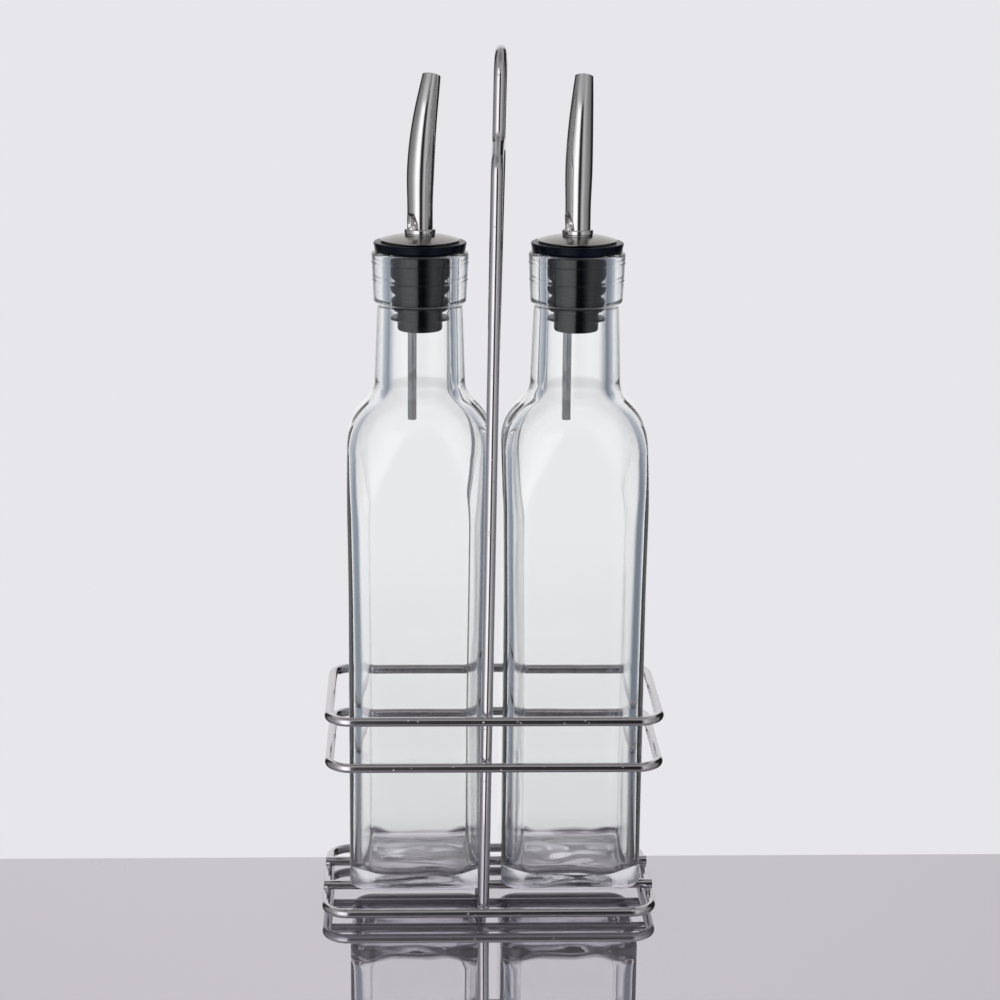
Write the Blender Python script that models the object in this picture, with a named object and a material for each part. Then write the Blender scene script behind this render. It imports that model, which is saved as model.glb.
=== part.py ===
"""Cruet set: two square glass bottles with steel pourers, standing in a chromed wire rack.

Metres, +Z up. The origin is on the table, under the middle of the whole set. +X points at the
right-hand bottle and +Y at the back. Heights in the constants are above the table, except in
the bottle's own outline, which is measured up from the bottle's base.
"""

import math

import bmesh
import bpy
from mathutils import Vector

# Air that is left between pieces that touch on the real set
GAP = 0.0002

# Rack: three rings of drawn wire, two cross wires and a hoop that is the carrying handle
RING_WIRE = 0.0033
RING_WIDTH = 0.1118        # between wire centres, along X
RING_DEPTH = 0.0584        # between wire centres, along Y
RING_BEND = 0.0075
CROSS_WIRE_INSET = 0.0004  # how far a cross wire's end stays inside the base ring's outer edge
GUARD_HEIGHTS = {"lower_guard_ring": 0.0543, "upper_guard_ring": 0.0707}
GUARD_SHIFT = 0.0013       # how far the guard rings stand to the right of the base ring
CROSS_WIRE_Y = {"base_cross_wire_front": -0.0125, "base_cross_wire_rear": 0.0086}

HANDLE_WIRE = 0.0041
HANDLE_TOP = 0.2927
HANDLE_FOOT = 0.0004
SHOULDER_HEIGHT = 0.2522
SHOULDER_BEND = 0.006
SHOULDER_ANGLE = math.radians(66)
LOOP_HALF_WIDTH = 0.010
# The hoop leans and twists a little: X of its legs at the foot and at the shoulder
LEG_FOOT_X = {"front": -0.0028, "back": -0.0024}
LEG_SHOULDER_X = {"front": -0.0003, "back": 0.0023}

# Bottles
BOTTLE_X = {"left": -0.0247, "right": 0.0275}
BOTTLE_HEIGHT = 0.2180
BODY_HALF = 0.0239
BODY_CORNER = 0.28         # corner radius as a share of the half width
BASE_ROUND = 0.0026
WALL = 0.0031
FLOOR = 0.0042
FLOOR_ROUND = 0.0075       # radius between the floor and the inner walls
PUSH_UP = 0.0010           # height of the hollow under the base
# The hollow's (half width, height, corner) rings, from its middle to the edge of the flat rim
HOLLOW_RINGS = [(0.0120, PUSH_UP, 0.9), (0.0165, 0.0, 0.6)]
WAIST = 0.100              # height up to which the body keeps its width
SHOULDER_SWELL = 0.0005    # how much wider the body is at the shoulder
BODY_TOP = 0.1530
NECK_FOOT = 0.1745
NECK_FOOT_RADIUS = 0.0152
# Lengths of the handles that shape the shoulder's curve, at the body and at the neck
OUTER_PULL = (0.0135, 0.0070)
INNER_PULL = (0.0145, 0.0080)
INNER_SINK = 0.0025        # how far below the outer shoulder the inner one starts
INNER_CORNER = 0.26        # corner radius of the inside as a share of its half width
NECK_TOP = 0.2008
NECK_TOP_RADIUS = 0.0142
FINISH_FOOT = 0.2020
FINISH_FOOT_RADIUS = 0.01545
FINISH_TOP_RADIUS = 0.01615
FINISH_ROUND = 0.0009
FINISH_STEP = 0.0005       # bevel under the finish
MOUTH_BEVEL = 0.0007
BORE = 0.0100
NECK_BORE = 0.0103

# Stopper: rubber, turned about the bottle's axis
STOPPER_CLEARANCE = 0.00025
FLANGE_THICKNESS = 0.0031
FLANGE_FOOT_RADIUS = 0.0150
FLANGE_TOP_RADIUS = 0.01545
FLANGE_BEVEL = (0.0008, 0.0004)    # at its upper and at its lower edge
PLUG_LENGTH = 0.0264
PLUG_RADIUS = 0.0075
PLUG_BEVEL = 0.0012
GROOVE_RADIUS = 0.0083
GROOVE_HEIGHT = 0.0008
STOPPER_BORE = 0.00535
# Sealing fins: top and foot from the flange's underside, and how much narrower than the first
FINS = ((0.0, -0.0090, 0.0), (-0.0100, -0.0136, 0.0), (-0.0150, -0.0184, 0.0004))
FIN_BEVEL = 0.0003
FIN_LIP = ((0.0, 0.0018), (0.0010, 0.0004))    # (inset, height above the foot) of a fin's lower edge
SKIRT = (-0.0214, -0.0216, -0.0226, -0.0238)   # start, top, foot and end of the lowest, thin fin
SKIRT_NECK = -0.0202

# Pourer: steel
DISC_RADIUS = 0.0132
DISC_THICKNESS = 0.0005
DOME_HEIGHT = 0.0019
SLEEVE_RADIUS = 0.00515
SLEEVE_BORE = 0.0049
SLEEVE_FOOT = 0.1994
COLLAR_TOP = 0.2326
COLLAR_LIFT = 0.0006       # from the top of the dome to the foot of the collar's bead
COLLAR_BULGE = 0.00005
SLEEVE_BEVEL = 0.0001
SLEEVE_LIP = 0.0002
SPOUT_FOOT = 0.2290
SPOUT_TIP = 0.2834
SPOUT_RADIUS = 0.0043
SPOUT_BELLY_RADIUS = 0.0046
SPOUT_TIP_RADIUS = 0.0031
SPOUT_TAPER = 1.7          # above 1 the spout keeps its width for longer
SPOUT_WALL = 0.0004
SPOUT_BELLY = 0.2520        # height of its widest place
SPOUT_BEND_START = 0.2440
SPOUT_BEND_LENGTH = 0.0300
SPOUT_BEND = math.radians(22)
DENT_FULL_BELOW = 0.2334
DENT_TOP = 0.2385
DENT_RADIUS = 0.00145      # from the axis to the pressed-in wall
DENT_FLAT = math.radians(32)
DENT_EDGE = math.radians(62)
DENT_ARCH = 0.45           # share by which the dent gets narrower towards its top
BREATHER_OFFSET = 0.0032
BREATHER_RADIUS = 0.0015
BREATHER_BORE = 0.0011
BREATHER_FOOT = 0.1686
BREATHER_TOP = 0.2332
# Directions about +Z, from +X: where each spout leans, and where its breather stands
SPOUT_TURN = {"left": math.radians(66), "right": math.radians(78)}
BREATHER_TURN = {"left": math.radians(-141), "right": math.radians(-155)}

# Facets
WIRE_SIDES = 12
ARC_STEPS = 5
BOTTLE_SIDES = 32
TURNED_SIDES = 24
TUBE_SIDES = 16
LEG_STEPS = 4
FOOT_STEPS = 3
OUTER_SHOULDER_STEPS = 8
INNER_SHOULDER_STEPS = 6
DOME_STEPS = 4
SPOUT_LOW_STEPS = 5
SPOUT_HIGH_STEPS = 7
SHARP_ANGLE = math.radians(35)

# Heights worked out from the above
BASE_WIRE_HEIGHT = RING_WIRE / 2
CROSS_WIRE_HEIGHT = RING_WIRE + GAP + RING_WIRE / 2
BOTTLE_BASE = CROSS_WIRE_HEIGHT + RING_WIRE / 2 + GAP
RIM = BOTTLE_BASE + BOTTLE_HEIGHT
FLANGE_FOOT = RIM + GAP
FLANGE_TOP = FLANGE_FOOT + FLANGE_THICKNESS
DISC_FOOT = FLANGE_TOP + GAP
LEG_Y = RING_DEPTH / 2 - RING_WIRE / 2 - GAP - HANDLE_WIRE / 2


def clear_scene():
    """Removes whatever the file opened with."""
    for obj in list(bpy.data.objects):
        bpy.data.objects.remove(obj, do_unlink=True)


def make_material(name, colour, roughness, metallic=0.0, transmission=0.0, ior=1.5):
    """A Principled material with the piece's own colour and polish."""
    material = bpy.data.materials.new(name)
    material.use_nodes = True
    shader = material.node_tree.nodes["Principled BSDF"]
    shader.inputs["Base Color"].default_value = (*colour, 1.0)
    shader.inputs["Roughness"].default_value = roughness
    shader.inputs["Metallic"].default_value = metallic
    shader.inputs["Transmission Weight"].default_value = transmission
    shader.inputs["IOR"].default_value = ior
    return material


def add_object(name, mesh_builder, material, location=(0.0, 0.0, 0.0), parent=None):
    """Turns a bmesh into a smooth-shaded object whose faces point out."""
    if mesh_builder.calc_volume(signed=True) < 0:
        bmesh.ops.reverse_faces(mesh_builder, faces=mesh_builder.faces)
    mesh = bpy.data.meshes.new(name)
    mesh_builder.to_mesh(mesh)
    mesh_builder.free()
    mesh.materials.append(material)
    mesh.shade_smooth()
    mesh.set_sharp_from_angle(angle=SHARP_ANGLE)
    obj = bpy.data.objects.new(name, mesh)
    obj.location = location
    obj.parent = parent
    bpy.context.collection.objects.link(obj)
    return obj


def add_pivot(name, location, parent=None):
    """An empty that stands on a moving piece's axis."""
    pivot = bpy.data.objects.new(name, None)
    pivot.location = location
    pivot.parent = parent
    bpy.context.collection.objects.link(pivot)
    return pivot


def loft(rings, closed=False):
    """Joins rings of points with quads. An open loft is capped, a closed one comes round."""
    mesh_builder = bmesh.new()
    loops = [[mesh_builder.verts.new(point) for point in ring] for ring in rings]
    pairs = list(zip(loops, loops[1:]))
    if closed:
        pairs.append((loops[-1], loops[0]))
    for lower, upper in pairs:
        count = len(lower)
        for i in range(count):
            j = (i + 1) % count
            mesh_builder.faces.new((lower[i], lower[j], upper[j], upper[i]))
    if not closed:
        mesh_builder.faces.new(list(reversed(loops[0])))
        mesh_builder.faces.new(loops[-1])
    return mesh_builder


def sweep(path, radius, sides, side_axis, closed):
    """A round wire along a path. side_axis is never parallel to the path."""
    rings = []
    last = len(path) - 1
    for i, point in enumerate(path):
        before = path[i - 1] if closed or i else point
        after = path[(i + 1) % len(path)] if closed or i < last else point
        along = (after - before).normalized()
        across = (side_axis - along * side_axis.dot(along)).normalized()
        third = along.cross(across)
        angles = [2 * math.pi * k / sides for k in range(sides)]
        rings.append([point + radius * (across * math.cos(a) + third * math.sin(a)) for a in angles])
    return loft(rings, closed)


def turned(profile, sides, closed):
    """Turns (radius, height) points about the Z axis."""
    angles = [2 * math.pi * k / sides for k in range(sides)]
    rings = [[Vector((r * math.cos(a), r * math.sin(a), z)) for a in angles] for r, z in profile]
    return loft(rings, closed)


def arc(centre, radius, start, end, steps):
    """Points on an arc in a plane, both ends included, angles in degrees."""
    angles = [math.radians(start + (end - start) * i / steps) for i in range(steps + 1)]
    return [(centre[0] + radius * math.cos(a), centre[1] + radius * math.sin(a)) for a in angles]


def bezier(p0, p1, p2, p3, steps):
    """Points along a cubic curve, both ends included."""
    ends = (p0, p1, p2, p3)
    points = []
    for i in range(steps + 1):
        t = i / steps
        weights = ((1 - t) ** 3, 3 * t * (1 - t) ** 2, 3 * t * t * (1 - t), t ** 3)
        points.append(tuple(sum(w * p[k] for w, p in zip(weights, ends)) for k in (0, 1)))
    return points


def smoothstep(x):
    """0 below 0, 1 above 1, smooth between them."""
    x = min(max(x, 0.0), 1.0)
    return x * x * (3 - 2 * x)


def mix(first, second, share):
    return first + (second - first) * share


# Rack

def ring_path(height, centre_x):
    """The centre line of a ring: a rectangle with bent corners."""
    half_width = RING_WIDTH / 2 - RING_BEND
    half_depth = RING_DEPTH / 2 - RING_BEND
    corners = ((1, 1, 0), (-1, 1, 90), (-1, -1, 180), (1, -1, 270))
    points = []
    for sx, sy, start in corners:
        centre = (centre_x + sx * half_width, sy * half_depth)
        points += arc(centre, RING_BEND, start, start + 90, ARC_STEPS)
    return [Vector((x, y, height)) for x, y in points]


def handle_half():
    """(Y, Z) points of the hoop's centre line, from the front foot to the loop's spring line."""
    bend = SHOULDER_BEND
    angle = SHOULDER_ANGLE
    run = (LEG_Y - LOOP_HALF_WIDTH - 2 * bend * (1 - math.cos(angle))) / math.sin(angle)
    degrees = math.degrees(angle)
    outer = arc((-LEG_Y + bend, SHOULDER_HEIGHT), bend, 180, 180 - degrees, ARC_STEPS)
    inner_start = Vector(outer[-1]) + run * Vector((math.sin(angle), math.cos(angle)))
    inner_centre = inner_start + bend * Vector((-math.cos(angle), math.sin(angle)))
    inner = arc(inner_centre, bend, -degrees, 0, ARC_STEPS)
    straight = [(-LEG_Y, mix(HANDLE_FOOT, SHOULDER_HEIGHT, i / LEG_STEPS)) for i in range(LEG_STEPS)]
    return straight + outer + inner


def handle_path():
    """The whole hoop, with its lean and twist."""
    half = handle_half()
    spring = HANDLE_TOP - HANDLE_WIRE / 2 - LOOP_HALF_WIDTH
    top = arc((0.0, spring), LOOP_HALF_WIDTH, 180, 0, 2 * ARC_STEPS)
    points = []
    for y, z in half + top + [(-y, z) for y, z in reversed(half)]:
        back_share = (y + LEG_Y) / (2 * LEG_Y)
        foot = mix(LEG_FOOT_X["front"], LEG_FOOT_X["back"], back_share)
        shoulder = mix(LEG_SHOULDER_X["front"], LEG_SHOULDER_X["back"], back_share)
        points.append(Vector((mix(foot, shoulder, z / SHOULDER_HEIGHT), y, z)))
    return points


def build_rack(chrome):
    up = Vector((0.0, 0.0, 1.0))
    base = ring_path(BASE_WIRE_HEIGHT, -GUARD_SHIFT / 2)
    add_object("base_ring", sweep(base, RING_WIRE / 2, WIRE_SIDES, up, True), chrome)
    for name, height in GUARD_HEIGHTS.items():
        path = ring_path(height, GUARD_SHIFT / 2)
        add_object(name, sweep(path, RING_WIRE / 2, WIRE_SIDES, up, True), chrome)
    half_length = (RING_WIDTH + RING_WIRE) / 2 - CROSS_WIRE_INSET
    for name, y in CROSS_WIRE_Y.items():
        ends = [Vector((s * half_length - GUARD_SHIFT / 2, y, CROSS_WIRE_HEIGHT)) for s in (-1, 1)]
        add_object(name, sweep(ends, RING_WIRE / 2, WIRE_SIDES, up, False), chrome)
    across = Vector((1.0, 0.0, 0.0))
    add_object("carry_handle", sweep(handle_path(), HANDLE_WIRE / 2, WIRE_SIDES, across, False), chrome)


# Bottles

def square_ring(half, corner, height):
    """A square with rounded corners. corner is the radius over the half width; 1 is a circle."""
    points = []
    flat = half * (1 - corner)
    radius = half * corner
    for k in range(BOTTLE_SIDES):
        angle = 2 * math.pi * (k + 0.5) / BOTTLE_SIDES
        c, s = math.cos(angle), math.sin(angle)
        big, small = max(abs(c), abs(s)), min(abs(c), abs(s))
        reach = half / big
        if reach * small > flat:
            middle = flat * (abs(c) + abs(s))
            reach = middle + math.sqrt(max(middle * middle - 2 * flat * flat + radius * radius, 0.0))
        points.append(Vector((reach * c, reach * s, height)))
    return points


def shoulder_rings(curve, corner, foot):
    """Adds the corner share to a shoulder's curve: square at the body, round at the neck."""
    return [(x, z, mix(corner, 1.0, smoothstep((z - foot) / (NECK_FOOT - foot)))) for x, z in curve]


def outer_outline():
    """(half width, height, corner) of the bottle's outside, from the base up to the rim."""
    wide = BODY_HALF + SHOULDER_SWELL
    rest = arc((BODY_HALF - BASE_ROUND, BASE_ROUND), BASE_ROUND, -90, -25, FOOT_STEPS)
    foot = [(x, z, BODY_CORNER) for x, z in rest]
    body = [(BODY_HALF, BASE_ROUND, BODY_CORNER), (BODY_HALF, WAIST, BODY_CORNER)]
    curve = bezier((wide, BODY_TOP), (wide, BODY_TOP + OUTER_PULL[0]),
                   (NECK_FOOT_RADIUS, NECK_FOOT - OUTER_PULL[1]), (NECK_FOOT_RADIUS, NECK_FOOT),
                   OUTER_SHOULDER_STEPS)
    top = BOTTLE_HEIGHT - FINISH_ROUND
    finish = [(NECK_TOP_RADIUS, NECK_TOP, 1.0),
              (FINISH_FOOT_RADIUS - FINISH_STEP, FINISH_FOOT - FINISH_STEP, 1.0),
              (FINISH_FOOT_RADIUS, FINISH_FOOT, 1.0), (FINISH_TOP_RADIUS, top, 1.0)]
    rounding = arc((FINISH_TOP_RADIUS - FINISH_ROUND, top), FINISH_ROUND, 30, 90, 2)
    lip = [(x, z, 1.0) for x, z in rounding]
    return HOLLOW_RINGS + foot + body + shoulder_rings(curve, BODY_CORNER, BODY_TOP) + finish + lip


def inner_outline():
    """The same for the inside, from the rim down to the floor."""
    half = BODY_HALF - WALL
    wide = half + SHOULDER_SWELL
    foot = BODY_TOP - INNER_SINK
    neck_foot = NECK_FOOT - INNER_SINK / 2
    curve = bezier((NECK_BORE, neck_foot), (NECK_BORE, neck_foot - INNER_PULL[1]),
                   (wide, foot + INNER_PULL[0]), (wide, foot), INNER_SHOULDER_STEPS)
    mouth = [(BORE + MOUTH_BEVEL, BOTTLE_HEIGHT, 1.0), (BORE, BOTTLE_HEIGHT - MOUTH_BEVEL, 1.0),
             (BORE, NECK_TOP, 1.0)]
    waist = [(half, WAIST, INNER_CORNER)]
    floor = [(x, z, INNER_CORNER) for x, z in
             arc((half - FLOOR_ROUND, FLOOR + FLOOR_ROUND), FLOOR_ROUND, 0, -90, FOOT_STEPS)]
    return mouth + shoulder_rings(curve, INNER_CORNER, foot) + waist + floor


def build_bottle(side, glass):
    outline = outer_outline() + inner_outline()
    rings = [square_ring(half, corner, height) for half, height, corner in outline]
    return add_object("bottle_" + side, loft(rings), glass, (BOTTLE_X[side], 0.0, BOTTLE_BASE))


# Stoppers and pourers, turned about the bottle's axis

def stopper_profile():
    """Closed (radius, height) outline of the rubber, heights from the flange's underside."""
    widest = BORE - STOPPER_CLEARANCE
    upper_bevel, lower_bevel = FLANGE_BEVEL
    flange = [(STOPPER_BORE, FLANGE_THICKNESS),
              (FLANGE_TOP_RADIUS - upper_bevel, FLANGE_THICKNESS),
              (FLANGE_TOP_RADIUS, FLANGE_THICKNESS - upper_bevel),
              (FLANGE_FOOT_RADIUS, lower_bevel),
              (FLANGE_FOOT_RADIUS - lower_bevel, 0.0),
              (widest, 0.0)]
    fins = []
    for top, foot, inset in FINS:
        reach = widest - inset
        fins.append((reach, top - FIN_BEVEL))
        fins += [(reach - step, foot + rise) for step, rise in FIN_LIP]
        fins += [(GROOVE_RADIUS, foot), (GROOVE_RADIUS, foot - GROOVE_HEIGHT)]
    start, top, foot, end = SKIRT
    skirt = [(PLUG_RADIUS, SKIRT_NECK), (PLUG_RADIUS, start), (widest, top), (widest, foot),
             (PLUG_RADIUS, end)]
    plug = [(PLUG_RADIUS, -PLUG_LENGTH + PLUG_BEVEL), (PLUG_RADIUS - PLUG_BEVEL, -PLUG_LENGTH),
            (STOPPER_BORE, -PLUG_LENGTH)]
    return flange + fins + skirt + plug


def disc_profile():
    """Closed outline of the domed steel disc, heights from its rim's underside."""
    radii = [mix(STOPPER_BORE, DISC_RADIUS, i / DOME_STEPS) for i in range(DOME_STEPS + 1)]
    dome = [(r, DOME_HEIGHT * (1 - (r / DISC_RADIUS) ** 2)) for r in radii]
    return dome + [(r, z + DISC_THICKNESS) for r, z in reversed(dome)]


def sleeve_profile():
    """Closed outline of the sleeve through the stopper, with its collar bead on top."""
    bead_foot = DISC_FOOT + DOME_HEIGHT + COLLAR_LIFT
    middle = (bead_foot + COLLAR_TOP) / 2
    tube = SLEEVE_RADIUS - SLEEVE_BEVEL
    return [(SLEEVE_BORE, SLEEVE_FOOT), (SLEEVE_BORE, COLLAR_TOP - SLEEVE_LIP),
            (SLEEVE_BORE + SLEEVE_BEVEL, COLLAR_TOP), (tube, COLLAR_TOP),
            (SLEEVE_RADIUS + COLLAR_BULGE, middle), (tube, bead_foot), (tube, SLEEVE_FOOT)]


def spout_line(height):
    """Centre point and lean of the spout at a distance up its centre line."""
    bent = min(max(height - SPOUT_BEND_START, 0.0), SPOUT_BEND_LENGTH)
    after = max(height - SPOUT_BEND_START - SPOUT_BEND_LENGTH, 0.0)
    lean = SPOUT_BEND * bent / SPOUT_BEND_LENGTH
    radius = SPOUT_BEND_LENGTH / SPOUT_BEND
    out = radius * (1 - math.cos(lean)) + after * math.sin(lean)
    up = min(height, SPOUT_BEND_START) + radius * math.sin(lean) + after * math.cos(lean)
    return out, up, lean


def spout_radius(height):
    """Straight below, a slight belly at the bend, then a taper to the tip."""
    if height < SPOUT_BELLY:
        share = smoothstep((height - DENT_TOP) / (SPOUT_BELLY - DENT_TOP))
        return mix(SPOUT_RADIUS, SPOUT_BELLY_RADIUS, share)
    share = (height - SPOUT_BELLY) / (SPOUT_TIP - SPOUT_BELLY)
    return mix(SPOUT_BELLY_RADIUS, SPOUT_TIP_RADIUS, share ** SPOUT_TAPER)


def spout_section(height, dent_turn):
    """Outline of the spout's outside at a height, in its own plane, with the pressed-in dent."""
    full = spout_radius(height)
    pressed = smoothstep((DENT_TOP - height) / (DENT_TOP - DENT_FULL_BELOW))
    arch = 1 - DENT_ARCH * smoothstep((height - BREATHER_TOP) / (DENT_TOP - BREATHER_TOP))
    flat, edge = DENT_FLAT * arch, DENT_EDGE * arch
    depth = pressed * (full - DENT_RADIUS)
    points = []
    for k in range(TURNED_SIDES):
        angle = 2 * math.pi * k / TURNED_SIDES
        share = smoothstep((edge - min(angle, 2 * math.pi - angle)) / (edge - flat))
        reach = full - depth * share
        points.append(Vector((reach * math.cos(angle + dent_turn), reach * math.sin(angle + dent_turn))))
    return points


def pulled_in(points, wall):
    """The same outline moved in by the wall, at right angles to itself."""
    result = []
    for i, point in enumerate(points):
        along = (points[(i + 1) % len(points)] - points[i - 1]).normalized()
        result.append(point - wall * Vector((along.y, -along.x)))
    return result


def spout_mesh(dent_turn):
    """The spout as a thin tube that leans along +X."""
    low = [mix(SPOUT_FOOT, DENT_TOP, i / SPOUT_LOW_STEPS) for i in range(SPOUT_LOW_STEPS)]
    high = [mix(DENT_TOP, SPOUT_TIP, i / SPOUT_HIGH_STEPS) for i in range(SPOUT_HIGH_STEPS + 1)]
    outside, inside = [], []
    for height in low + high:
        out, up, lean = spout_line(height)
        across = Vector((math.cos(lean), 0.0, -math.sin(lean)))
        section = spout_section(height, dent_turn)
        for ring, outline in ((outside, section), (inside, pulled_in(section, SPOUT_WALL))):
            ring.append([Vector((out, p.y, up - SPOUT_FOOT)) + across * p.x for p in outline])
    return loft(outside + list(reversed(inside)), closed=True)


def build_stopper(side, rubber, bottle):
    height = FLANGE_FOOT - BOTTLE_BASE
    mesh_builder = turned(stopper_profile(), TURNED_SIDES, closed=True)
    return add_object("stopper_" + side, mesh_builder, rubber, (0.0, 0.0, height), bottle)


def build_pourer(side, polished, satin, stopper):
    """The steel pieces hang on an empty that stands on the turning axis."""
    pivot = add_pivot("pourer_pivot_" + side, (0.0, 0.0, -FLANGE_FOOT), stopper)
    disc = turned(disc_profile(), TURNED_SIDES, closed=True)
    add_object("cap_disc_" + side, disc, satin, (0.0, 0.0, DISC_FOOT), pivot)
    sleeve = turned(sleeve_profile(), TURNED_SIDES, closed=True)
    add_object("sleeve_" + side, sleeve, polished, parent=pivot)
    spout = add_object("spout_" + side, spout_mesh(BREATHER_TURN[side] - SPOUT_TURN[side]), polished,
                       (0.0, 0.0, SPOUT_FOOT), pivot)
    spout.rotation_euler.z = SPOUT_TURN[side]
    outline = [(BREATHER_BORE, BREATHER_FOOT), (BREATHER_BORE, BREATHER_TOP),
               (BREATHER_RADIUS, BREATHER_TOP), (BREATHER_RADIUS, BREATHER_FOOT)]
    tube = turned(outline, TUBE_SIDES, closed=True)
    turn = BREATHER_TURN[side]
    place = (BREATHER_OFFSET * math.cos(turn), BREATHER_OFFSET * math.sin(turn), 0.0)
    add_object("breather_tube_" + side, tube, satin, place, pivot)


def main():
    clear_scene()
    chrome = make_material("chromed_wire", (0.62, 0.62, 0.64), 0.12, metallic=1.0)
    glass = make_material("clear_glass", (0.97, 0.985, 0.985), 0.0, transmission=1.0, ior=1.52)
    rubber = make_material("black_rubber", (0.012, 0.013, 0.018), 0.45)
    polished = make_material("polished_steel", (0.66, 0.65, 0.64), 0.08, metallic=1.0)
    satin = make_material("satin_steel", (0.56, 0.55, 0.53), 0.30, metallic=1.0)
    build_rack(chrome)
    for side in ("left", "right"):
        bottle = build_bottle(side, glass)
        stopper = build_stopper(side, rubber, bottle)
        build_pourer(side, polished, satin, stopper)


main()
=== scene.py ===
"""Cruet set: two square glass bottles with steel pourers, standing in a chromed wire rack.

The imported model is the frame: it gives the places and outer sizes, and the sizes below add the
fine shape of each piece. Metres, +Z up, +X at the right-hand bottle, +Y at the back.
"""

import math

import bpy
from bpy.props import FloatProperty, FloatVectorProperty, IntProperty, PointerProperty
from mathutils import Matrix, Vector, noise


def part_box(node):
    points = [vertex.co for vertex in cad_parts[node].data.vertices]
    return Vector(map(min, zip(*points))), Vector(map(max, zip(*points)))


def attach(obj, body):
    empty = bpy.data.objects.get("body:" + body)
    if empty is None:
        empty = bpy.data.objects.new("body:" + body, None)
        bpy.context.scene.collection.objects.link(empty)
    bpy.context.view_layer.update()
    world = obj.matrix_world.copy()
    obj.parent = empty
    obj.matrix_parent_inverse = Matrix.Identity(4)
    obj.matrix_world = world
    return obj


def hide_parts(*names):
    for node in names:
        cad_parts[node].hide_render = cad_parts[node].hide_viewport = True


bl_info = {
    "name": "Cruet Set Looks",
    "version": (1, 0, 0),
    "blender": (4, 5, 0),
    "location": "3D View > Sidebar > Cruet Set",
    "description": "Builds the visible pieces, finishes and studio of an oil and vinegar cruet set",
    "category": "Object",
}

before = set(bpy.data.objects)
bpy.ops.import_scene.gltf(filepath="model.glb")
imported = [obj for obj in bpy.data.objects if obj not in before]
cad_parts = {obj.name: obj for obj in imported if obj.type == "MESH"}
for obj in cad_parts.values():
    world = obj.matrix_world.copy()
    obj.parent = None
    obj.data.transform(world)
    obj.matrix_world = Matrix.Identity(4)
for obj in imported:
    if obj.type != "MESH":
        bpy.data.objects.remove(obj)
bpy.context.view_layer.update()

SIDES = ("left", "right")
RINGS = ("base_ring", "lower_guard_ring", "upper_guard_ring")
CROSS_WIRES = ("base_cross_wire_front", "base_cross_wire_rear")

FULL_TURN = 2 * math.pi


def length(name, default, description):
    """A size in metres that a user may change."""
    return FloatProperty(name=name, description=description, default=default, min=0.0, precision=5,
                         unit="LENGTH")


def colour(name, default, description):
    """A colour that a user may change."""
    return FloatVectorProperty(name=name, description=description, default=default, min=0.0, max=1.0,
                               subtype="COLOR")


# Settings

class RackSettings(bpy.types.PropertyGroup):
    ring_bend: length("Ring Corner", 0.0075, "Bend radius at the rings' corners, to the wire's centre")
    handle_wire: length("Handle Wire", 0.0041, "Diameter of the handle's wire")
    shoulder_height: length("Shoulder Height", 0.2522, "Height at which the handle's legs turn inwards")
    shoulder_bend: length("Shoulder Bend", 0.0060, "Radius of the bends at the handle's shoulders")
    shoulder_angle: FloatProperty(name="Shoulder Angle", description="How far each shoulder bend turns",
                                  default=math.radians(66), subtype="ANGLE")
    loop_half_width: length("Loop Half Width", 0.0100, "Half the width of the finger loop")
    foot_x: FloatVectorProperty(name="Leg Feet", description="X of the front and back legs at the foot",
                                default=(-0.0028, -0.0024), size=2, unit="LENGTH")
    shoulder_x: FloatVectorProperty(name="Leg Shoulders", description="X of the legs at the shoulder",
                                    default=(-0.0003, 0.0023), size=2, unit="LENGTH")
    facets: IntProperty(name="Wire Facets", description="Facets round a wire", default=32, min=8)
    ripple: length("Ripple", 0.00003, "Unevenness of the drawn wire")
    bead: length("Weld Bead", 0.0009, "Radius of a weld bead")
    bead_inset: length("Bead Inset", 0.0017, "From the base ring's outer side to a bead")
    bead_gap: length("Bead Gap", 0.0012, "From a cross wire's centre line to the beads beside it")
    metal: colour("Chrome", (0.655, 0.635, 0.665), "Colour of the chromed wire")


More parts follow.
